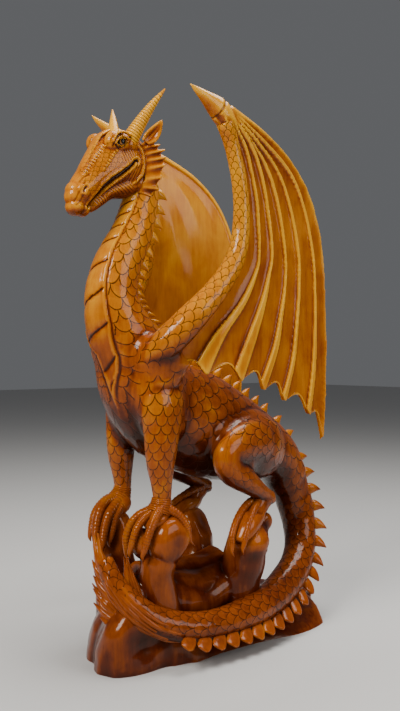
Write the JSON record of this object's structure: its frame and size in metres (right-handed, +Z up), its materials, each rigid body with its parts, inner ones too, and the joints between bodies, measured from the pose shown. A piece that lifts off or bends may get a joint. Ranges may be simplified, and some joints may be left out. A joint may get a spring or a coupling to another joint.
{
  "type": "wooden dragon carving",
  "caption": "Carved wooden dragon with raised wings standing on a rocky base, its scaled tail curling round to the front.",
  "frame": {"origin": "centre of the bounding box at the flat underside of the base", "axes": "+Z up, the longest extent; the dragon looks along -Y and its left side is at +X"},
  "size_m": [0.1826, 0.3434, 0.5607],
  "materials": {
    "lacquered_wood": "gloss lacquer over honey-brown wood, darker in the recesses"
  },
  "bodies": {
    "root": {"dragon_carving": "lacquered_wood"}
  },
  "joints": []
}
